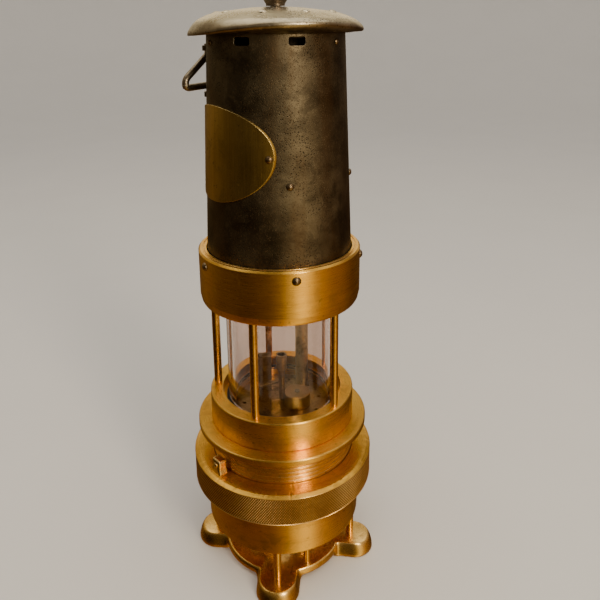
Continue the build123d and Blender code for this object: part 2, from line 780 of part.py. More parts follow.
# tapered steel bonnet with vents under the lid
with BuildPart() as bonnet_shell:
    with BuildSketch(Plane.XZ):
        with BuildLine():
            Polyline(
                (bonnet_low_r - bonnet_wall, bonnet_low),
                (bonnet_low_r, bonnet_low),
                (bonnet_top_r, bonnet_top),
                (bonnet_top_r - bonnet_wall, bonnet_top),
                close=True,
            )
        make_face()
    revolve(axis=Axis.Z)
    for vent_bearing in vent_angles:
        vent_plane = Plane(origin=at(lid_lip_r, vent_bearing, vent_z), x_dir=at(1, vent_bearing + 90),
                           z_dir=at(1, vent_bearing))
        with BuildSketch(vent_plane):
            RectangleRounded(vent_width, vent_height, vent_corner_r)
        extrude(amount=wall_drill, mode=Mode.SUBTRACT)
    radial_holes(cone_r(ring_screw_z), ring_screw_angles, ring_screw_z, ring_screw_r + fit, wall_drill)
    radial_holes(cone_r(rivet_z), rivet_angles, rivet_z, rivet_r + fit, wall_drill)
    radial_holes(cone_r(oval_z), oval_rivet_angles, oval_z, rivet_r + fit, wall_drill)
    radial_holes(cone_r(top_screw_z), top_screw_angles, top_screw_z, top_screw_r + fit, wall_drill)
bonnet_shell.part.label = "bonnet_shell"
export_step(bonnet_shell.part, "parts/bonnet_shell.step")


# domed screws that hold the bonnet in the upper ring
with BuildPart() as ring_screws:
    radial_studs(ring_r, ring_screw_angles, ring_screw_z, ring_screw_r, ring_screw_shank, *ring_screw_head)
ring_screws.part.label = "ring_screws"
export_step(ring_screws.part, "parts/ring_screws.step")

# rivets around the bonnet, one place being covered by the oval plate
with BuildPart() as bonnet_rivets:
    radial_studs(cone_r(rivet_z) + head_lift, rivet_angles, rivet_z, rivet_r, bonnet_wall, *rivet_head)
bonnet_rivets.part.label = "bonnet_rivets"
export_step(bonnet_rivets.part, "parts/bonnet_rivets.step")

# small screws under the lid
with BuildPart() as top_screws:
    radial_studs(cone_r(top_screw_z) + head_lift, top_screw_angles, top_screw_z, top_screw_r, bonnet_wall,
                 *top_screw_head)
top_screws.part.label = "top_screws"
export_step(top_screws.part, "parts/top_screws.step")

# blank oval brass plate wrapped on the bonnet
oval_low = oval_z - oval_half_height - 1
oval_high = oval_z + oval_half_height + 1
oval_steps = 24
oval_points = []
for step in range(oval_steps):
    turn = 2 * pi * step / oval_steps
    across = cone_r(oval_z) * sin(radians(oval_half_span * cos(turn)))
    oval_points.append((across, oval_half_height * sin(turn)))
with BuildPart() as oval_plate:
    with BuildSketch(Plane.XZ):
        with BuildLine():
            Polyline(
                (cone_r(oval_low) + oval_gap, oval_low),
                (cone_r(oval_low) + oval_thickness, oval_low),
                (cone_r(oval_high) + oval_thickness, oval_high),
                (cone_r(oval_high) + oval_gap, oval_high),
                close=True,
            )
        make_face()
    revolve(axis=Axis.Z)
    with BuildSketch(Plane(origin=(0, 0, oval_z), x_dir=at(1, oval_angle + 90), z_dir=at(1, oval_angle))):
        with BuildLine():
            Spline(*oval_points, periodic=True)
        make_face()
    extrude(amount=bonnet_low_r + oval_thickness, mode=Mode.INTERSECT)
    radial_holes(cone_r(oval_z), oval_rivet_angles, oval_z, rivet_r + fit, wall_drill)
oval_plate.part.label = "oval_plate"
export_step(oval_plate.part, "parts/oval_plate.step")

# rivets at the two ends of the plate
with BuildPart() as plate_rivets:
    radial_studs(cone_r(oval_z) + oval_thickness + head_lift, oval_rivet_angles, oval_z, rivet_r,
                 bonnet_wall + oval_thickness, *rivet_head)
plate_rivets.part.label = "plate_rivets"
export_step(plate_rivets.part, "parts/plate_rivets.step")

# ---------------------------------------------------------------- lid and hanger

# domed lid with a rolled rim
with BuildPart() as lid:
    with BuildSketch(Plane.XZ):
        with BuildLine():
            dome = Spline((0, lid_apex), *lid_dome, tangents=((1, 0), (0.5, -1)))
            rim = ThreePointArc(dome @ 1, (lid_r, lid_low + lid_roll / 2), (lid_dome[-1][0], lid_low))
            Line(rim @ 1, (lid_lip_r, lid_low))
            Line((lid_lip_r, lid_low), (lid_lip_r, lid_low + lid_lip))
            under = Spline((lid_lip_r, lid_low + lid_lip), lid_hollow, (0, lid_apex - lid_thickness),
                           tangents=((-1, 0.9), (-1, 0)))
            Line(under @ 1, dome @ 0)
        make_face()
    revolve(axis=Axis.Z)
    with Locations((0, 0, seat_ring_top)):
        Cylinder(swivel_pin_r + fit, lid_apex - seat_ring_top, align=BASE, mode=Mode.SUBTRACT)
    with PolarLocations(lid_rivet_circle_r, lid_rivet_count, start_angle=lid_rivet_angle):
        with Locations((0, 0, seat_ring_top)):
            Cylinder(lid_rivet_r + fit, lid_apex - seat_ring_top, align=BASE, mode=Mode.SUBTRACT)
        with Locations((0, 0, lid_rivet_seat)):
            Cylinder(lid_rivet_head[0] + fit, lid_apex - lid_rivet_seat, align=BASE, mode=Mode.SUBTRACT)
lid.part.label = "lid"
export_step(lid.part, "parts/lid.step")

# seat ring inside the bonnet that the lid is riveted to
with BuildPart() as lid_seat_ring:
    with Locations((0, 0, seat_ring_low)):
        Cylinder(cone_r(seat_ring_low) - bonnet_wall - 2 * fit, seat_ring_top - seat_ring_low, align=BASE)
    with Locations((0, 0, shield_low)):
        Cylinder(shield_r, seat_ring_top - shield_low, align=BASE)
        Cylinder(seat_ring_bore_r, seat_ring_top - shield_low, align=BASE, mode=Mode.SUBTRACT)
lid_seat_ring.part.label = "lid_seat_ring"
export_step(lid_seat_ring.part, "parts/lid_seat_ring.step")

# rivets through the lid, with posts down to the seat ring
with BuildPart() as lid_rivets:
    with PolarLocations(lid_rivet_circle_r, lid_rivet_count, start_angle=lid_rivet_angle):
        with Locations((0, 0, lid_rivet_seat)):
            domed_head(*lid_rivet_head)
        with Locations((0, 0, seat_ring_top)):
            Cylinder(lid_rivet_r, lid_rivet_seat - seat_ring_top, align=BASE)
lid_rivets.part.label = "lid_rivets"
export_step(lid_rivets.part, "parts/lid_rivets.step")

# swivel: a pin through the lid, a narrow neck that flares into a round head
with BuildPart() as swivel:
    with BuildSketch(Plane.XZ):
        with BuildLine():
            Polyline(
                (0, swivel_pin_low),
                (swivel_pin_r, swivel_pin_low),
                (swivel_pin_r, swivel_low),
                (swivel_neck_r, swivel_low),
                (swivel_neck_r, swivel_low + swivel_neck),
                (swivel_r, swivel_low + swivel_flare),
                (swivel_r, swivel_top - swivel_bevel),
                (swivel_r - swivel_bevel, swivel_top),
                (0, swivel_top),
                close=True,
            )
        make_face()
    revolve(axis=Axis.Z)
    with Locations((0, 0, hook_foot)):
        Cylinder(hook_wire_r, swivel_top - hook_foot, align=BASE, mode=Mode.SUBTRACT)
swivel.part.label = "swivel"
export_step(swivel.part, "parts/swivel.step")

# nut that keeps the swivel in the lid
with BuildPart() as swivel_nut:
    with Locations((0, 0, swivel_nut_low)):
        Cylinder(swivel_nut_r, swivel_nut_height, align=BASE)
        Cylinder(swivel_pin_r, swivel_nut_height, align=BASE, mode=Mode.SUBTRACT)
swivel_nut.part.label = "swivel_nut"
export_step(swivel_nut.part, "parts/swivel_nut.step")

# hanging hook of round bar, its bend centred over the lamp's axis
hook_middle = hook_foot + hook_stem + hook_bend_r
with BuildPart() as hanging_hook:
    with BuildLine(Plane.XZ) as hook_path:
        Line((0, hook_foot), (0, hook_foot + hook_stem))
        CenterArc((0, hook_middle), hook_bend_r, -90, hook_sweep)
    with BuildSketch(Plane.XY.offset(hook_foot)):
        Circle(hook_wire_r)
    sweep(transition=Transition.ROUND)
    with Locations(hook_path.line @ 1):
        Sphere(hook_wire_r)
hanging_hook.part.label = "hanging_hook"
export_step(hanging_hook.part, "parts/hanging_hook.step")

# ---------------------------------------------------------------- side loop

# two eyes standing out of the bonnet
with BuildPart() as loop_lugs:
    for eye_z in (loop_top, loop_bottom):
        wall_r = cone_r(eye_z - eye_height / 2)
        with BuildSketch(Plane.XY.offset(eye_z - eye_height / 2)):
            with Locations(at(loop_pivot_r, loop_angle)):
                Circle(eye_r)
            with Locations(Location(at((loop_pivot_r + wall_r) / 2, loop_angle), (0, 0, loop_angle))):
                Rectangle(loop_pivot_r - wall_r, eye_width)
            Circle(wall_r + fit, mode=Mode.SUBTRACT)
            with Locations(at(loop_pivot_r, loop_angle)):
                Circle(loop_wire_r + fit, mode=Mode.SUBTRACT)
        extrude(amount=eye_height)
loop_lugs.part.label = "loop_lugs"
export_step(loop_lugs.part, "parts/loop_lugs.step")

# three-cornered wire loop that swings on its two ends like a gate
loop_plane = Plane(origin=at(loop_pivot_r, loop_angle), x_dir=at(1, loop_bearing), z_dir=at(1, loop_bearing - 90))
loop_inset = eye_height / 2 + loop_wire_r
with BuildPart() as side_loop:
    with BuildLine(loop_plane) as loop_path:
        Polyline(
            (0, loop_top + wire_end),
            (0, loop_top - loop_inset),
            (loop_reach, loop_corner),
            (loop_reach - edge_break, loop_return),
            (0, loop_return + edge_break),
            (0, loop_bottom - wire_end),
        )
    with BuildSketch(Plane(origin=at(loop_pivot_r, loop_angle, loop_top + wire_end), z_dir=(0, 0, -1))):
        Circle(loop_wire_r)
    sweep(transition=Transition.ROUND)
side_loop.part.label = "side_loop"
export_step(side_loop.part, "parts/side_loop.step")
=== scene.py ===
"""Miner's carbide lamp: looks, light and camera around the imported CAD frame. Lengths are in metres."""

import math

import bmesh
import bpy
from mathutils import Matrix, Vector, noise


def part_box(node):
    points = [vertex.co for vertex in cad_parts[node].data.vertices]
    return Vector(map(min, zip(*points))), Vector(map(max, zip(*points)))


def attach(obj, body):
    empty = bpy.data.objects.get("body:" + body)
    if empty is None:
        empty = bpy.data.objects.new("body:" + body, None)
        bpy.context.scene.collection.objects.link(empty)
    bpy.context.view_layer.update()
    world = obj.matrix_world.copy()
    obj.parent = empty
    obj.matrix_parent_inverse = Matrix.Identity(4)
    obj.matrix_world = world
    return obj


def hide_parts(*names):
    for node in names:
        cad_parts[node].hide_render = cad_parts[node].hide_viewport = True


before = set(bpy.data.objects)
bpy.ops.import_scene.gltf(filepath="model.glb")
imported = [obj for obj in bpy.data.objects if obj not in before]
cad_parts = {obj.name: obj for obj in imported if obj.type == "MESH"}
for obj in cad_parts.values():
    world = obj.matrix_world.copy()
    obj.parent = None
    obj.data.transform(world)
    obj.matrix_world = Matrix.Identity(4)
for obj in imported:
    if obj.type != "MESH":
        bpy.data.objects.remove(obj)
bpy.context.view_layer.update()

MM = 0.001
TURN = 2 * math.pi
MIX_SHARE, MIX_A, MIX_B, MIX_RESULT = 0, 6, 7, 2      # sockets of the Mix node that carry colours

# ------------------------------------------------------------------ node graphs


def rgba(color):
    """A colour socket as it is, or a plain colour with its alpha added."""
    return color if isinstance(color, bpy.types.NodeSocket) else (*color, 1.0)


class Graph:
    """Node tree of a material or of the world, written as nested calls."""

    def __init__(self, owner, output="ShaderNodeOutputMaterial", coordinate="Object"):
        self.owner = owner
        owner.use_nodes = True
        self.tree = owner.node_tree
        self.tree.nodes.clear()
        self.output = self.add(output)
        self.position = self.add("ShaderNodeTexCoord").outputs[coordinate]

    def add(self, kind, **settings):
        node = self.tree.nodes.new(kind)
        for key, value in settings.items():
            setattr(node, key, value)
        return node

    def feed(self, socket, value):
        """Links a socket, or sets its own value."""
        if isinstance(value, bpy.types.NodeSocket):
            self.tree.links.new(value, socket)
        else:
            socket.default_value = value

    def math(self, operation, a, b=0.0, c=0.0, clamp=False):
        node = self.add("ShaderNodeMath", operation=operation, use_clamp=clamp)
        for socket, value in zip(node.inputs, (a, b, c)):
            self.feed(socket, value)
        return node.outputs[0]

    def split(self, vector):
        node = self.add("ShaderNodeSeparateXYZ")
        self.feed(node.inputs[0], vector)
        return node.outputs

    def join(self, x, y, z):
        node = self.add("ShaderNodeCombineXYZ")
        for socket, value in zip(node.inputs, (x, y, z)):
            self.feed(socket, value)
        return node.outputs[0]

    def noise(self, vector, scale, detail=3.0, roughness=0.55, distortion=0.0):
        node = self.add("ShaderNodeTexNoise")
        self.feed(node.inputs["Vector"], vector)
        node.inputs["Scale"].default_value = scale
        node.inputs["Detail"].default_value = detail
        node.inputs["Roughness"].default_value = roughness
        node.inputs["Distortion"].default_value = distortion
        return node.outputs[0]

    def stretched(self, shares):
        """Position with its axes scaled, so that noise is drawn out along the smallest share's axis."""
        return self.join(*[self.math("MULTIPLY", axis, share)
                           for axis, share in zip(self.split(self.position), shares)])

    def cells(self, vector, scale):
        node = self.add("ShaderNodeTexVoronoi")
        self.feed(node.inputs["Vector"], vector)
        node.inputs["Scale"].default_value = scale
        return node.outputs["Distance"]

    def ramp(self, value, low, high, to_low=0.0, to_high=1.0):
        """Smooth step of value, from to_low at low to to_high at high."""
        node = self.add("ShaderNodeMapRange", interpolation_type="SMOOTHSTEP")
        self.feed(node.inputs[0], value)
        for index, number in enumerate((low, high, to_low, to_high), start=1):
            node.inputs[index].default_value = number
        return node.outputs[0]

    def mix(self, share, a, b):
        node = self.add("ShaderNodeMix", data_type="RGBA")
        self.feed(node.inputs[MIX_SHARE], share)
        self.feed(node.inputs[MIX_A], rgba(a))
        self.feed(node.inputs[MIX_B], rgba(b))
        return node.outputs[MIX_RESULT]

    def stops(self, value, stops):
        """Colour read from (place, colour) stops, with places from 0 to 1."""
        node = self.add("ShaderNodeValToRGB")
        self.feed(node.inputs[0], value)
        elements = node.color_ramp.elements
        node.color_ramp.interpolation = "EASE"
        while len(elements) < len(stops):
            elements.new(1.0)
        for element, (place, color) in zip(elements, stops):
            element.position = place
            element.color = rgba(color)
        return node.outputs[0]

    def bump(self, height, distance, strength=1.0, normal=None):
        node = self.add("ShaderNodeBump")
        node.inputs["Strength"].default_value = strength
        node.inputs["Distance"].default_value = distance
        self.feed(node.inputs["Height"], height)
        if normal is not None:
            self.feed(node.inputs["Normal"], normal)
        return node.outputs[0]

    def edges(self, radius):
        """(rounded normal, mask that is 1 along edges) for edges of about this radius."""
        bevel = self.add("ShaderNodeBevel", samples=6)
        bevel.inputs["Radius"].default_value = radius
        geometry = self.add("ShaderNodeNewGeometry")
        dot = self.add("ShaderNodeVectorMath", operation="DOT_PRODUCT")
        self.feed(dot.inputs[0], bevel.outputs[0])
        self.feed(dot.inputs[1], geometry.outputs["Normal"])
        flat, bent_over = 0.995, 0.90
        return bevel.outputs[0], self.ramp(dot.outputs["Value"], flat, bent_over)

    def turned(self, centre=(0.0, 0.0)):
        """(radius, height, bearing) about an upright axis."""
        x, y, z = self.split(self.position)
        x = self.math("SUBTRACT", x, centre[0])
        y = self.math("SUBTRACT", y, centre[1])
        square = self.math("ADD", self.math("MULTIPLY", x, x), self.math("MULTIPLY", y, y))
        radius = self.math("POWER", square, 0.5)
        return radius, z, self.math("ARCTAN2", y, x)

    def surface(self, color, metallic, roughness, normal=None, **sockets):
        shader = self.add("ShaderNodeBsdfPrincipled")
        self.feed(shader.inputs["Base Color"], rgba(color))
        self.feed(shader.inputs["Metallic"], metallic)
        self.feed(shader.inputs["Roughness"], roughness)
        if normal is not None:
            self.feed(shader.inputs["Normal"], normal)
        for key, value in sockets.items():
            self.feed(shader.inputs[key.replace("_", " ")], value)
        self.tree.links.new(shader.outputs[0], self.output.inputs[0])
        return self.owner


def material_graph(name):
    return Graph(bpy.data.materials.new(name))


# colours of bright edges: partly worn-bare metal, partly a painted highlight
WORN_AND_HIGHLIT_BRASS_EDGE = (0.98, 0.80, 0.46)
WORN_AND_HIGHLIT_STEEL_EDGE = (0.60, 0.55, 0.48)


def darker(color, share):
    return tuple(share * channel for channel in color)


def brass(name, gold, shade, glow, rough, relief=1.0, anisotropy=0.0, patina=0.35, centre=(0.0, 0.0),
          grain="turned", rounding=0.45, shaded_valley=None):
    """Worn brass: fine tool lines, cloudy lacquer, dark spots, scratches, and bright edges that are
    partly worn bare and partly a painted highlight.

    The last argument is a pair of radii in mm between which the colour goes from a painted shade
    in the knurl valleys to the plain metal.
    """
    g = material_graph(name)
    radius, height, bearing = g.turned(centre)
    if grain == "turned":
        lines = g.join(radius, height, g.math("MULTIPLY", bearing, 0.0015))
    elif grain == "upright":
        lines = g.join(g.math("MULTIPLY", bearing, 0.04), g.math("MULTIPLY", height, 0.02), 0.0)
    else:
        lines = g.position
    fine = g.noise(lines, 2600.0, detail=4.0, roughness=0.7)
    broad = g.noise(lines, 520.0)
    cloud = g.noise(g.position, 30.0, detail=5.0, roughness=0.62)
    stains = g.noise(g.position, 95.0, detail=5.0, roughness=0.68, distortion=0.4)
    blotch = g.ramp(stains, 0.50, 0.66)
    spots = g.ramp(g.noise(g.position, 300.0, detail=5.0, roughness=0.65), 0.60, 0.72)
    arcs = g.join(g.math("MULTIPLY", bearing, 0.012), height, radius)
    scratch = g.ramp(g.noise(arcs, 900.0, detail=2.0, roughness=0.4, distortion=0.6), 0.70, 0.76)

    color = g.mix(g.ramp(cloud, 0.36, 0.64), gold, glow)
    color = g.mix(g.math("MULTIPLY", g.ramp(broad, 0.45, 0.72), 0.5 * patina), color, shade)
    color = g.mix(g.math("MULTIPLY", blotch, patina), color, shade)
    color = g.mix(g.math("MULTIPLY", spots, 1.5 * patina, clamp=True), color, darker(shade, 0.6))
    # painted shade: the colour darkens down into the knurl valleys
    if shaded_valley:
        valley_floor, lit = shaded_valley
        color = g.mix(g.ramp(radius, valley_floor * MM, lit * MM), darker(shade, 0.7), color)
    normal = None
    if rounding:
        normal, edge = g.edges(rounding * MM)
        # bright edges: partly worn bare, partly a painted highlight
        color = g.mix(g.math("MULTIPLY", edge, 0.6), color, WORN_AND_HIGHLIT_BRASS_EDGE)

    worn = g.math("MULTIPLY_ADD", g.ramp(fine, 0.3, 0.7), 0.10, rough - 0.05)
    worn = g.math("ADD", worn, g.math("MULTIPLY", g.math("ADD", spots, blotch), 0.10))
    worn = g.math("ADD", worn, g.math("MULTIPLY", scratch, 0.10), clamp=True)
    height_map = g.math("MULTIPLY_ADD", broad, 0.5, g.math("MULTIPLY", fine, 0.5))
    pitting = g.math("MULTIPLY", g.math("ADD", scratch, spots), 0.6)
    height_map = g.math("SUBTRACT", height_map, pitting)
    normal = g.bump(height_map, 0.04 * MM, strength=0.22 * relief, normal=normal)
    extra = {"Anisotropic": anisotropy, "Anisotropic_Rotation": 0.25} if anisotropy else {}
    return g.surface(color, 1.0, worn, normal, **extra)


def steel(name, light, dark, rust, rough, pits, rust_share=0.4, edge_wear_and_highlight=0.5, pit_scale=620.0,
          top_highlight=None):
    """Old sheet or bar steel: cloudy, pitted, with bright edges that are partly worn bare and partly
    a painted highlight.

    The last argument is (low, high, colour): from low up to high, in mm, the steel turns smoother
    and to this brighter colour, a painted highlight over the top. The line between the two wanders up
    and down by about 1 mm.
    """
    g = material_graph(name)
    cloud = g.noise(g.position, 34.0, detail=5.0, roughness=0.62)
    streak = g.noise(g.stretched((1.0, 1.0, 0.18)), 90.0, detail=4.0, roughness=0.6)
    pit_area = g.ramp(g.noise(g.position, 40.0), 0.42, 0.60)
    pit = g.math("MULTIPLY", g.ramp(g.cells(g.position, pit_scale), 0.36, 0.14), pit_area)
    speck = g.ramp(g.noise(g.position, 1300.0, detail=4.0, roughness=0.7), 0.54, 0.66)
    stains = g.noise(g.position, 75.0, detail=6.0, roughness=0.70, distortion=0.5)
    blotch = g.ramp(stains, 0.48, 0.62)
    rounded, edge = g.edges(0.4 * MM)

    color = g.mix(g.ramp(cloud, 0.30, 0.70), dark, light)
    color = g.mix(g.math("MULTIPLY", blotch, 0.5), color, darker(dark, 0.55))
    color = g.mix(g.math("MULTIPLY", g.ramp(streak, 0.42, 0.74), rust_share), color, rust)
    color = g.mix(g.math("MULTIPLY", speck, 0.45), color, rust)
    color = g.mix(g.math("MULTIPLY", pit, pits, clamp=True), color, darker(dark, 0.2))
    # bright edges: partly worn bare, partly a painted highlight
    color = g.mix(g.math("MULTIPLY", edge, edge_wear_and_highlight), color, WORN_AND_HIGHLIT_STEEL_EDGE)
    worn = g.math("MULTIPLY_ADD", cloud, 0.22, rough - 0.11)
    worn = g.math("ADD", worn, g.math("MULTIPLY", g.math("ADD", pit, speck), 0.16), clamp=True)
    # painted highlight: from the given height upwards the colour turns brighter and the steel smoother
    if top_highlight:
        low, high, bright = top_highlight
        wave = 1.0
        height = g.math("MULTIPLY_ADD", cloud, 2.0 * wave * MM, g.split(g.position)[2])
        above = g.ramp(height, (low + wave) * MM, (high + wave) * MM)
        lit = g.math("MULTIPLY", above, g.ramp(pit, 0.8, 0.1))
        color = g.mix(g.math("MULTIPLY", lit, 0.9), color, bright)
        worn = g.math("SUBTRACT", worn, g.math("MULTIPLY", lit, 0.06))
    relief = g.math("SUBTRACT", g.math("MULTIPLY", cloud, 0.8), g.math("MULTIPLY", pit, pits))
    relief = g.math("ADD", relief, g.math("MULTIPLY", speck, 0.35))
    normal = g.bump(relief, 0.14 * MM, strength=0.55, normal=rounded)
    return g.surface(color, 1.0, worn, normal)


def glass_material(name):
    """Old lamp glass, faintly smoked from the flame."""
    g = material_graph(name)
    smear = g.noise(g.stretched((1.0, 1.0, 0.25)), 60.0, detail=4.0, roughness=0.6)
    tint = g.mix(g.ramp(smear, 0.35, 0.75), (0.89, 0.77, 0.71), (0.79, 0.65, 0.59))
    rough = g.ramp(smear, 0.45, 0.85, to_low=0.01, to_high=0.06)
    wave = g.bump(g.noise(g.position, 28.0, detail=2.0), 0.4 * MM, strength=0.12)
    return g.surface(tint, 0.0, rough, wave, Transmission_Weight=1.0, IOR=1.47)


def gauze_material(name, pitch, mean_radius):
    """Woven wire: crossing rows of round wires with dark gaps."""
    g = material_graph(name)
    height, bearing = g.turned()[1:]
    up = g.math("MULTIPLY", height, TURN / pitch)
    across = g.math("MULTIPLY", bearing, TURN * mean_radius / pitch)
    wires = g.math("MAXIMUM", g.math("SINE", up), g.math("SINE", across))
    mask = g.ramp(wires, 0.1, 0.75)
    tone = g.noise(g.position, 120.0)
    color = g.mix(mask, (0.01, 0.009, 0.008), (0.30, 0.27, 0.24))
    color = g.mix(g.math("MULTIPLY", tone, 0.5), color, (0.10, 0.06, 0.04))
    worn = g.math("MULTIPLY_ADD", tone, 0.3, 0.35)
    return g.surface(color, mask, worn, g.bump(wires, 0.2 * MM, strength=0.8))


def rubber_material(name):
    g = material_graph(name)
    grain = g.noise(g.position, 700.0, detail=4.0, roughness=0.7)
    color = g.mix(g.ramp(grain, 0.35, 0.7), (0.018, 0.016, 0.014), (0.05, 0.045, 0.04))
    worn = g.math("MULTIPLY_ADD", grain, 0.25, 0.55)
    return g.surface(color, 0.0, worn, g.bump(grain, 0.1 * MM, strength=0.4))


clamp_low, clamp_high = [c.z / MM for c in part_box("clamp_ring")]
clamp_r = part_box("clamp_ring")[1].x / MM
KNURL_DEPTH = 0.36
drum_x, drum_y = [(a + b) / 2 for a, b in zip(*[c[:2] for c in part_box("striker_drum")])]

GOLD, SHADE, GLOW = (0.82, 0.46, 0.075), (0.26, 0.112, 0.018), (0.92, 0.55, 0.105)

LOOKS = {
    "turned": brass("turned_brass", GOLD, SHADE, GLOW, 0.30, anisotropy=0.80, patina=0.30),
    # knurled brass: darker down in the knurl valleys, a painted shade
    "knurled": brass("knurled_brass", (0.92, 0.56, 0.20), SHADE, (0.98, 0.66, 0.28), 0.34, rounding=0.0,
                     shaded_valley=(clamp_r - KNURL_DEPTH, clamp_r - 0.05)),
    "rod": brass("drawn_brass", (0.74, 0.44, 0.12), SHADE, GLOW, 0.26, relief=0.4, grain="plain",
                 patina=0.4),
    "cast": brass("cast_brass", (0.86, 0.52, 0.14), SHADE, (0.95, 0.64, 0.24), 0.26, relief=1.2,
                  grain="plain"),
    "lug": brass("worn_lug_brass", (0.80, 0.56, 0.22), SHADE, (0.94, 0.74, 0.38), 0.30, relief=2.0,
                 patina=0.45, grain="plain"),
    # parts inside the glass: darker brass, partly soot and partly a painted shade
    "inner": brass("sooted_and_shaded_brass", (0.40, 0.32, 0.17), (0.10, 0.075, 0.040), (0.52, 0.41, 0.21), 0.36,
                   relief=0.6, patina=0.7, grain="plain"),
    "drum": brass("drum_brass", (0.40, 0.28, 0.14), (0.10, 0.06, 0.03), (0.56, 0.40, 0.20), 0.32,
                  patina=0.5, centre=(drum_x, drum_y)),
    "plate": brass("plate_brass", (0.50, 0.34, 0.085), (0.20, 0.125, 0.025), (0.62, 0.44, 0.13), 0.33,
                   relief=1.6, patina=0.5, grain="upright"),
    "bonnet": steel("bonnet_steel", (0.200, 0.168, 0.118), (0.060, 0.046, 0.030), (0.11, 0.062, 0.028),
                    0.46, pits=0.9, rust_share=0.45, edge_wear_and_highlight=0.4, pit_scale=950.0),
    # lid: the top of the dome is painted a brighter cream, a painted highlight
    "lid": steel("lid_steel", (0.42, 0.36, 0.27), (0.21, 0.17, 0.12), (0.14, 0.095, 0.055), 0.32,
                 pits=0.8, rust_share=0.35, edge_wear_and_highlight=0.7, pit_scale=700.0,
                 top_highlight=(302.8, 307.0, (0.80, 0.73, 0.60))),
    "loop": steel("loop_steel", (0.46, 0.40, 0.33), (0.26, 0.22, 0.17), (0.15, 0.09, 0.05), 0.36,
                  pits=0.5),
    "bar": steel("bar_steel", (0.26, 0.22, 0.18), (0.11, 0.09, 0.07), (0.13, 0.075, 0.04), 0.40,
                 pits=0.6),
    "screw": steel("screw_steel", (0.40, 0.31, 0.21), (0.20, 0.14, 0.09), (0.15, 0.085, 0.04), 0.32,
                   pits=0.4),
    "soot": steel("sooted_steel", (0.030, 0.024, 0.019), (0.012, 0.010, 0.008), (0.03, 0.018, 0.010),
                  0.60, pits=0.3, edge_wear_and_highlight=0.0),
    "tinned": steel("tinned_steel", (0.58, 0.57, 0.55), (0.42, 0.41, 0.40), (0.26, 0.20, 0.15), 0.42,
                    pits=0.3, rust_share=0.2),
    "glass": glass_material("lamp_glass"),
    "gauze": gauze_material("woven_gauze", pitch=0.9 * MM, mean_radius=0.027),
    "rubber": rubber_material("gasket_rubber"),
}

NODE_LOOKS = {
    "turned": ("vessel", "water_tank", "neck_flange", "cage_lower_ring", "cage_upper_ring",
               "clamp_ring"),
    "rod": ("foot_pillars", "side_stay", "cage_pillars"),
    "cast": ("foot_casting", "striker_key", "valve_knob"),
    "lug": ("lock_lug", "lock_pin"),
    "inner": ("burner_plate", "burner_cup", "gas_post", "riser_tube", "striker_bracket",
              "striker_arm", "flint_block", "gauze_ring", "gauze_spacer"),
    "drum": ("striker_drum",),
    "plate": ("oval_plate",),
    "bonnet": ("bonnet_shell", "loop_lugs"),
    "soot": ("lid_seat_ring",),
    "loop": ("side_loop",),
    "lid": ("lid", "lid_rivets"),
    "bar": ("swivel", "swivel_nut", "hanging_hook", "striker_spindle",
            "valve_spindle", "striker_shaft", "foot_nuts"),
    "screw": ("ring_screws", "bonnet_rivets", "top_screws", "plate_rivets"),
    "tinned": ("carbide_tray",),
    "glass": ("glass",),
    "gauze": ("inner_gauze", "outer_gauze"),
    "rubber": ("vessel_gasket", "glass_gasket_lower", "glass_gasket_upper"),
}

for look, nodes in NODE_LOOKS.items():
    for node in nodes:
        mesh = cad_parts[node].data
        mesh.materials.clear()
        mesh.materials.append(LOOKS[look])

# ------------------------------------------------------------------ built pieces


def finish_piece(bm, name, look, body, node, sharp):
    """Makes the mesh object, with edges over the sharp angle kept crisp, and puts it in the frame."""
    bmesh.ops.recalc_face_normals(bm, faces=bm.faces)
    for face in bm.faces:
        face.smooth = True
    for edge in bm.edges:
        if edge.calc_face_angle(0.0) > math.radians(sharp):
            edge.smooth = False
    mesh = bpy.data.meshes.new(name)
    bm.to_mesh(mesh)
    bm.free()
    mesh.materials.append(LOOKS[look])
    piece = bpy.data.objects.new(name, mesh)
    bpy.context.scene.collection.objects.link(piece)
    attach(piece, body)
    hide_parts(node)
    return piece


def closed_loft(rings, wrap=True, caps=False):
    """Mesh from rings of points, each ring a list of (x, y, z) in mm."""
    bm = bmesh.new()
    rows = [[bm.verts.new([c * MM for c in point]) for point in ring] for ring in rings]
    pairs = list(zip(rows, rows[1:])) + ([(rows[-1], rows[0])] if wrap else [])
    for here, there in pairs:
        for k in range(len(here)):
            n = (k + 1) % len(here)
            bm.faces.new((here[k], there[k], there[n], here[n]))
    if caps:
        bm.faces.new(rows[0])
        bm.faces.new(rows[-1])
    return bm


def lathe(profile, segments, shift):
    """Closed ring mesh from a closed (radius, height) profile in mm, whose points are moved by
    shift(radius, height, bearing).
    """
    rings = []
    for index in range(segments):
        bearing = TURN * index / segments
        moved = [shift(radius, height, bearing) for radius, height in profile]
        rings.append([(r * math.cos(bearing), r * math.sin(bearing), z) for r, z in moved])
    return closed_loft(rings)


def wander(x, y, z, scale):
    """Smooth noise from about -1 to 1 that depends on the place only. Lengths in mm."""
    return noise.noise(Vector((x, y, z)) * scale)


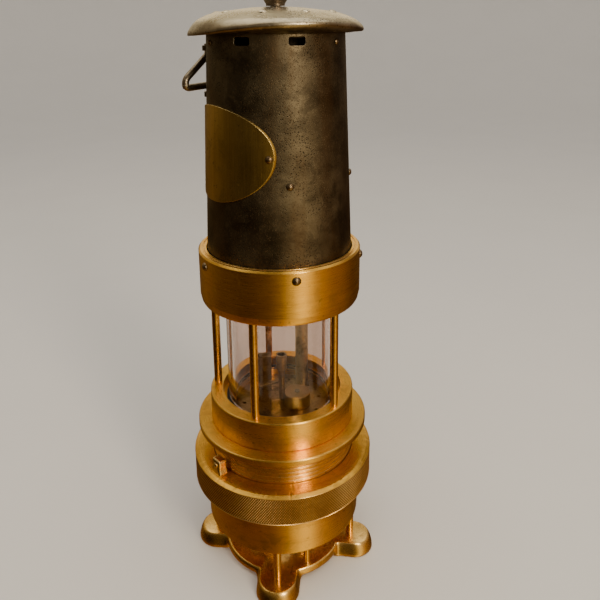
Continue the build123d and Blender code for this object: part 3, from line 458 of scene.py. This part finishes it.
# clamp ring with its diamond knurl cut into the outside, and a nicked top edge
KNURL_AROUND = 250
KNURL_ROWS = 9
KNURL_STEPS = 4              # points along each tooth of the knurl
KNURL_FADE = 0.3             # the teeth run out over this height
KNURL_FACE_DEPTH = 0.45      # faces no deeper than this belong to the knurled band
CLOSE = 0.01                 # lengths nearer than this count as equal
NICK_DEPTH = 0.30
NICK_SCALE, NICK_SHARE = 0.9, 0.12        # size and rarity of the nicks in the top
NICKED_FROM, EDGE_FROM = 41.0, 48.0       # radii where the nicked top and its more worn edge begin
THREAD_R = 42.05
LIP_R, LIP_LOW = 40.3, 67.0
knurl_low, knurl_high = clamp_low + 0.7, clamp_high - 1.35
knurl_span = knurl_high - knurl_low
knurl_profile = [(THREAD_R, clamp_low), (clamp_r - 0.6, clamp_low), (clamp_r - 0.1, clamp_low + 0.5)]
knurl_profile += [(clamp_r, knurl_low + knurl_span * k / (KNURL_STEPS * KNURL_ROWS))
                  for k in range(KNURL_STEPS * KNURL_ROWS + 1)]
knurl_profile += [(clamp_r - 0.02, clamp_high - 1.2), (48.75, clamp_high - 0.08), (48.5, clamp_high),
                  (46.0, clamp_high), (43.0, clamp_high), (40.5, clamp_high),
                  (LIP_R, clamp_high - 0.15), (LIP_R, LIP_LOW), (THREAD_R, LIP_LOW)]


def saw(value):
    """Triangle wave, 0 at whole numbers and 1 halfway."""
    return 1.0 - abs(2.0 * (value % 1.0) - 1.0)


def knurl(radius, height, bearing):
    x, y = radius * math.cos(bearing), radius * math.sin(bearing)
    if radius >= clamp_r - CLOSE and knurl_low - CLOSE <= height <= knurl_high + CLOSE:
        along = bearing / TURN * KNURL_AROUND
        up = (height - knurl_low) / knurl_span * KNURL_ROWS
        ridge = min(saw(along + up), saw(along - up))
        fade = min(1.0, (height - knurl_low) / KNURL_FADE, (knurl_high - height) / KNURL_FADE)
        return radius - KNURL_DEPTH * (1.0 - ridge) * max(0.0, fade), height
    if height > clamp_high - 0.5 and radius > NICKED_FROM:
        nick = max(0.0, wander(x, y, 3.0, NICK_SCALE) - NICK_SHARE) * (0.5 if radius < EDGE_FROM else 0.9)
        return radius, height - NICK_DEPTH * nick
    return radius, height


knurled_ring = finish_piece(lathe(knurl_profile, KNURL_STEPS * KNURL_AROUND, knurl),
                            "clamp_ring_knurled", "turned", "clamp", "clamp_ring",
                            sharp=25.0)
knurled_ring.data.materials.append(LOOKS["knurled"])
for polygon in knurled_ring.data.polygons:
    centre = polygon.center / MM
    on_wall = math.hypot(centre.x, centre.y) > clamp_r - KNURL_FACE_DEPTH
    if on_wall and knurl_low < centre.z < knurl_high:
        polygon.material_index = 1
        polygon.use_smooth = False

# lid: the CAD dome with a rim bent up at the front and down at the left, and shallow dents
LID_PROFILE = [(2.6, 311.95), (8.0, 311.7), (14.0, 311.3), (20.0, 310.6), (25.0, 309.95), (29.6, 309.3),
               (33.6, 308.0), (37.4, 306.4), (39.3, 305.3), (40.2, 304.5), (41.0, 303.7), (41.8, 302.9),
               (42.6, 301.7), (43.0, 300.6), (42.8, 299.9), (42.2, 299.6), (36.0, 299.6), (31.5, 299.6),
               (31.4, 303.2), (27.0, 305.9), (22.0, 308.0), (14.0, 309.7), (8.0, 310.2), (2.6, 310.4)]
LID_SEGMENTS = 360
LID_BENDS = ((-72.0, 3.1), (180.0, -1.3), (10.0, 0.2), (80.0, 0.5))      # bearing and rise of the rim
BEND_FROM, BEND_REACH = 34.5, 8.5
BRIM_R = 35.0                                     # outside it dents also move points outwards
SEAT_R, SEAT_HEIGHT = 33.0, 305.0                 # points within both lie against the seat ring
BOSS_R = 6.0                                      # no dents this near to the swivel
DENTS = ((0.11, 0.22), (0.3, 0.10))               # scale and depth


def bent(radius, height, bearing):
    reach = max(0.0, (radius - BEND_FROM) / BEND_REACH)
    lift = sum(size * max(0.0, math.cos(bearing - math.radians(angle))) ** 2
               for angle, size in LID_BENDS)
    x, y = radius * math.cos(bearing), radius * math.sin(bearing)
    dent = sum(depth * wander(x, y, height, scale) for scale, depth in DENTS)
    outward = 0.25 * dent if radius > BRIM_R else 0.0
    free = 1.0 if radius > SEAT_R or height > SEAT_HEIGHT else 0.0
    clear = min(1.0, max(0.0, radius - BOSS_R) / BOSS_R)
    return radius + outward, height + lift * reach ** 2 + dent * free * clear


finish_piece(lathe(LID_PROFILE, LID_SEGMENTS, bent), "lid_bent", "lid", "head", "lid",
             sharp=50.0)

# base casting: a thin ring that swells into four flared, rounded feet
FOOT_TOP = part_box("foot_casting")[1].z / MM
FOOT_ROUND = 12.0                                 # the round end that FOOT_LEVELS describes
FEET = [(math.radians(bearing), reach, round_r / FOOT_ROUND)
        for bearing, reach, round_r in ((-96.0, 39.6, 12.0), (-10.5, 42.6, 10.8), (83.0, 40.2, 12.0),
                                        (173.8, 40.4, 11.6))]
FOOT_LEVELS = ((0.0, 9.9, -1.3), (0.35, 11.4, -0.3), (1.1, 11.9, 0.0), (2.4, 11.85, 0.0),
               (4.4, 11.45, 0.0), (6.2, 11.0, -0.1), (7.6, 10.6, -0.3), (8.35, 10.4, -0.6),
               (8.8, 10.3, -1.1), (9.0, 10.2, -1.9))      # height, half width and inset
RING_R = 34.9
RING_BORE = 20.0
RING_UNDERSIDE = 4.5
RING_BEVEL = 0.5
FOOT_BLEND = 22.0                                 # power that sets how tight the fillets are
FOOT_WIDTH = 11.0                                 # half width used to tell foot from ring
RISE_FROM, RISE_OVER = 22.5, 5.0                  # degrees off a foot where the underside rises
CAST_WAVE, CAST_SCALE = 0.12, 0.25                # depth and scale of the uneven sides
CASTING_SEGMENTS = 1440


def foot_reach(bearing, half_width):
    """(plan radius of ring and feet joined by small concave fillets, angle from the nearest foot)"""
    turn, centre, share = min((abs((bearing - angle + math.pi) % TURN - math.pi), reach, share)
                              for angle, reach, share in FEET)
    half_width *= share
    if turn <= math.atan2(half_width, centre):
        arm = centre * math.cos(turn) + math.sqrt(half_width ** 2 - (centre * math.sin(turn)) ** 2)
    else:
        arm = half_width / math.sin(turn)
    return (arm ** FOOT_BLEND + RING_R ** FOOT_BLEND) ** (1 / FOOT_BLEND), turn


def casting():
    rings = []
    for index in range(CASTING_SEGMENTS):
        bearing = TURN * index / CASTING_SEGMENTS
        turn = foot_reach(bearing, FOOT_WIDTH)[1]
        on_foot = min(1.0, max(0.0, (math.radians(RISE_FROM) - turn) / math.radians(RISE_OVER)))
        on_foot = on_foot * on_foot * (3 - 2 * on_foot)
        underside = RING_UNDERSIDE * (1 - on_foot)
        ring = []
        for z, half_width, inset in FOOT_LEVELS:
            reach = foot_reach(bearing, half_width)[0] + inset
            x, y = reach * math.cos(bearing), reach * math.sin(bearing)
            if 0.5 < z < 8.9:
                reach += CAST_WAVE * wander(x, y, z, CAST_SCALE)
            ring.append((reach, underside + (FOOT_TOP - underside) * z / FOOT_TOP))
        ring += [(RING_BORE + RING_BEVEL, FOOT_TOP), (RING_BORE, FOOT_TOP - RING_BEVEL),
                 (RING_BORE, underside)]
        rings.append([(r * math.cos(bearing), r * math.sin(bearing), z) for r, z in ring])
    return closed_loft(rings)


finish_piece(casting(), "foot_casting_rounded", "cast", "stand", "foot_casting",
             sharp=50.0)

# lock lug, worn round, on a foot a little wider than itself
LUG_BEARING = math.radians(-141.0)
LUG_R = 44.4
LUG_LEVELS = ((-0.1, 4.3, 2.75), (0.5, 4.25, 2.7), (1.5, 4.0, 2.6), (2.2, 3.6, 2.5), (3.2, 3.45, 2.45),
              (4.6, 3.4, 2.4), (6.0, 3.4, 2.35), (7.1, 3.3, 2.3), (7.7, 3.0, 2.0),
              (7.95, 2.2, 1.3))                   # height over the ring, half length, half width
LUG_SEGMENTS = 96
LUG_SQUARENESS = 7
LUG_WEAR, LUG_WEAR_SCALE = 0.06, 0.55


def lug():
    rings = []
    for z, half_length, half_width in LUG_LEVELS:
        ring = []
        for index in range(LUG_SEGMENTS):
            turn = TURN * index / LUG_SEGMENTS
            corner = (abs(math.cos(turn)) ** LUG_SQUARENESS
                      + abs(math.sin(turn)) ** LUG_SQUARENESS) ** (-1 / LUG_SQUARENESS)
            across = half_width * corner * math.cos(turn)
            along = half_length * corner * math.sin(turn)
            worn = 1.0 + LUG_WEAR * wander(across, along, z, LUG_WEAR_SCALE)
            radius = LUG_R + across * worn
            side = along * worn
            ring.append((radius * math.cos(LUG_BEARING) - side * math.sin(LUG_BEARING),
                         radius * math.sin(LUG_BEARING) + side * math.cos(LUG_BEARING), clamp_high + z))
        rings.append(ring)
    return closed_loft(rings, wrap=False, caps=True)


finish_piece(lug(), "lock_lug_worn", "lug", "clamp", "lock_lug", sharp=60.0)

# side loop: one round wire with three easy bends
LOOP_EYES, LOOP_EYES_R = math.radians(158.0), 37.8
LOOP_BEARING = math.radians(229.0)
LOOP_PIVOT = Vector((LOOP_EYES_R * math.cos(LOOP_EYES), LOOP_EYES_R * math.sin(LOOP_EYES), 0.0))
LOOP_OUT = Vector((math.cos(LOOP_BEARING), math.sin(LOOP_BEARING), 0.0))
LOOP_CORNERS = ((0.0, 294.4, 0.0), (0.0, 289.1, 1.9), (17.0, 276.6, 3.4), (15.8, 273.0, 2.0),
                (0.0, 273.5, 1.9), (0.0, 266.6, 0.0))
LOOP_WIRE = 1.78
BEND_STEPS = 8
WIRE_SIDES = 24


def rounded_path(corners):
    """Path through (across, height, radius of bend) corners, with the bends drawn as short curves."""
    points = []
    flat = [Vector(corner[:2]) for corner in corners]
    for index, here in enumerate(flat):
        bend = corners[index][2]
        if not bend:
            points.append(here)
            continue
        start = here + (flat[index - 1] - here).normalized() * bend
        end = here + (flat[index + 1] - here).normalized() * bend
        for k in range(BEND_STEPS + 1):
            share = k / BEND_STEPS
            points.append(start * (1 - share) ** 2 + here * 2 * share * (1 - share) + end * share ** 2)
    return [LOOP_PIVOT + LOOP_OUT * p.x + Vector((0.0, 0.0, p.y)) for p in points]


def tube(points, radius):
    """Round wire along points that lie in the side loop's upright plane."""
    normal = LOOP_OUT.cross(Vector((0.0, 0.0, 1.0)))
    rings = []
    for index, point in enumerate(points):
        after, before = points[min(index + 1, len(points) - 1)], points[max(index - 1, 0)]
        across = (after - before).normalized().cross(normal)
        rings.append([point + (across * math.cos(turn) + normal * math.sin(turn)) * radius
                      for turn in (TURN * k / WIRE_SIDES for k in range(WIRE_SIDES))])
    return closed_loft(rings, wrap=False, caps=True)


finish_piece(tube(rounded_path(LOOP_CORNERS), LOOP_WIRE), "side_loop_bent", "loop", "loop",
             "side_loop", sharp=50.0)

# ------------------------------------------------------------------ stage, light and camera

scene = bpy.context.scene

STAGE_PROFILE = ((1.6, 0.0), (2.0, 0.03), (2.35, 0.16), (2.6, 0.42), (2.72, 0.8), (2.75, 2.4))
STAGE_SEGMENTS = 96


def studio_floor():
    """Round paper floor whose edge sweeps up into a wall."""
    bm = bmesh.new()
    turns = [TURN * k / STAGE_SEGMENTS for k in range(STAGE_SEGMENTS)]
    rings = [[bm.verts.new((radius * math.cos(turn), radius * math.sin(turn), height))
              for turn in turns]
             for radius, height in STAGE_PROFILE]
    bm.faces.new(rings[0])
    for low, high in zip(rings, rings[1:]):
        for k in range(STAGE_SEGMENTS):
            n = (k + 1) % STAGE_SEGMENTS
            bm.faces.new((low[k], high[k], high[n], low[n]))
    for face in bm.faces:
        face.smooth = True
    mesh = bpy.data.meshes.new("floor")
    bm.to_mesh(mesh)
    bm.free()
    paper = material_graph("paper_floor")
    shade = paper.mix(paper.noise(paper.position, 9.0), (0.74, 0.72, 0.69), (0.78, 0.76, 0.73))
    mesh.materials.append(paper.surface(shade, 0.0, 0.9))
    floor = bpy.data.objects.new("floor", mesh)
    scene.collection.objects.link(floor)
    return floor


floor = studio_floor()
floor.visible_glossy = False

# studio walls: neutral for the eye and for soft light, a warm room with one tall window for reflections
studio = Graph(bpy.data.worlds.new("studio"), "ShaderNodeOutputWorld", "Generated")
scene.world = studio.owner
east, north, rise = studio.split(studio.position)
around = studio.math("ARCTAN2", east, studio.math("MULTIPLY", north, -1.0))
around = studio.math("MULTIPLY_ADD", around, 0.5 / math.pi, 0.5)


def room(stops):
    """Colours round the horizon, from stops of (degrees right of the front, red, green and blue shares)."""
    return studio.stops(around, [((degrees + 180.0) / 360.0, (light, light * green, light * blue))
                                 for degrees, light, green, blue in stops])


walls = room(((-180, 0.070, 0.62, 0.30), (-158, 0.085, 0.58, 0.24), (-128, 0.150, 0.54, 0.15),
              (-88, 0.045, 0.48, 0.11), (-50, 0.013, 0.50, 0.10), (-20, 0.040, 0.54, 0.12),
              (-1, 0.12, 0.60, 0.18), (15, 0.40, 0.70, 0.24), (27, 1.05, 0.74, 0.27),
              (39, 0.95, 0.71, 0.25), (54, 0.42, 0.54, 0.15), (85, 0.21, 0.46, 0.12),
              (125, 0.075, 0.46, 0.16), (180, 0.050, 0.58, 0.30)))
table = room(((-180, 0.16, 0.56, 0.20), (-120, 0.24, 0.44, 0.08), (-60, 0.20, 0.38, 0.05),
              (-20, 0.26, 0.43, 0.06), (4, 0.46, 0.56, 0.13), (20, 1.05, 0.72, 0.25),
              (36, 1.20, 0.74, 0.26), (56, 0.52, 0.57, 0.18), (90, 0.26, 0.56, 0.22),
              (180, 0.16, 0.60, 0.22)))
ceiling = room(((-180, 0.42, 0.80, 0.44), (-130, 0.42, 0.78, 0.42), (-60, 0.15, 0.76, 0.46),
                (4, 0.15, 0.78, 0.48), (18, 0.95, 0.90, 0.66), (34, 0.95, 0.90, 0.66),
                (50, 0.42, 0.76, 0.46), (90, 0.42, 0.70, 0.42), (130, 0.26, 0.76, 0.56),
                (180, 0.42, 0.80, 0.44)))
NEUTRAL = (0.62, 0.60, 0.58)
FAR_WALL = (1.15, 0.94, 0.58)
OVERHEAD = (1.50, 1.36, 1.02)
reflected = studio.mix(studio.ramp(rise, -0.67, -0.54), table, walls)
reflected = studio.mix(studio.ramp(rise, -0.26, 0.34), reflected, ceiling)
band = studio.math("MULTIPLY", studio.ramp(rise, 0.04, 0.16), studio.ramp(rise, 0.52, 0.36))
behind = studio.math("MULTIPLY", band, studio.ramp(north, 0.70, 0.92))
reflected = studio.mix(behind, reflected, FAR_WALL)
overhead = studio.math("MULTIPLY", studio.ramp(rise, 0.60, 0.82), studio.ramp(north, -0.30, 0.12))
reflected = studio.mix(overhead, reflected, OVERHEAD)
rays = studio.add("ShaderNodeLightPath")
background = studio.add("ShaderNodeBackground")
studio.feed(background.inputs["Color"], studio.mix(rays.outputs["Is Glossy Ray"], NEUTRAL, reflected))
studio.tree.links.new(background.outputs[0], studio.output.inputs[0])

AIM = Vector((0.0, 0.0, 0.16))


def softbox(name, bearing, distance, height, size, power, color, glossy=True):
    """Area light aimed at the lamp. Bearing 0 is the camera's side, positive to the right."""
    light = bpy.data.lights.new(name, "AREA")
    light.shape = "RECTANGLE"
    light.size, light.size_y = size
    light.energy = power
    light.color = color
    box = bpy.data.objects.new(name, light)
    turn = math.radians(bearing)
    place = Vector((distance * math.sin(turn), -distance * math.cos(turn), height))
    box.location = place
    box.rotation_mode = "QUATERNION"
    box.rotation_quaternion = (AIM - place).to_track_quat("-Z", "Y")
    box.visible_camera = False
    box.visible_glossy = glossy
    scene.collection.objects.link(box)


softbox("key", bearing=30.0, distance=1.1, height=0.75, size=(0.22, 1.0), power=9.0,
        color=(1.0, 0.84, 0.60))
softbox("left_fill", bearing=-105.0, distance=1.1, height=0.45, size=(0.35, 1.1), power=1.5,
        color=(1.0, 0.86, 0.66), glossy=False)
softbox("top", bearing=10.0, distance=0.5, height=1.5, size=(1.0, 1.0), power=9.0,
        color=(1.0, 0.90, 0.74), glossy=False)

# camera in front of the lamp, level with the lid, looking down and turned a little to the right
EYE = Vector((0.0, -0.3255, 0.3036))
PITCH, YAW, ROLL = (math.radians(a) for a in (15.33, 1.97, -0.46))
SENSOR_WIDTH, FOCAL_LENGTH = 36.0, 38.48          # millimetres
SHIFT_Y = -0.1667
NEAREST, FARTHEST = 0.01, 20.0
forward = Vector((math.sin(YAW) * math.cos(PITCH), math.cos(YAW) * math.cos(PITCH), -math.sin(PITCH)))
right = Vector((math.cos(YAW), -math.sin(YAW), 0.0))
up = right.cross(forward)
rolled_right = math.cos(ROLL) * right + math.sin(ROLL) * up
rolled_up = math.cos(ROLL) * up - math.sin(ROLL) * right
camera_data = bpy.data.cameras.new("camera")
camera_data.sensor_width = SENSOR_WIDTH
camera_data.lens = FOCAL_LENGTH
camera_data.shift_y = SHIFT_Y
camera_data.clip_start = NEAREST
camera_data.clip_end = FARTHEST
camera = bpy.data.objects.new("camera", camera_data)
turned_axes = Matrix((rolled_right, rolled_up, -forward)).transposed().to_4x4()
camera.matrix_world = Matrix.Translation(EYE) @ turned_axes
scene.collection.objects.link(camera)
scene.camera = camera
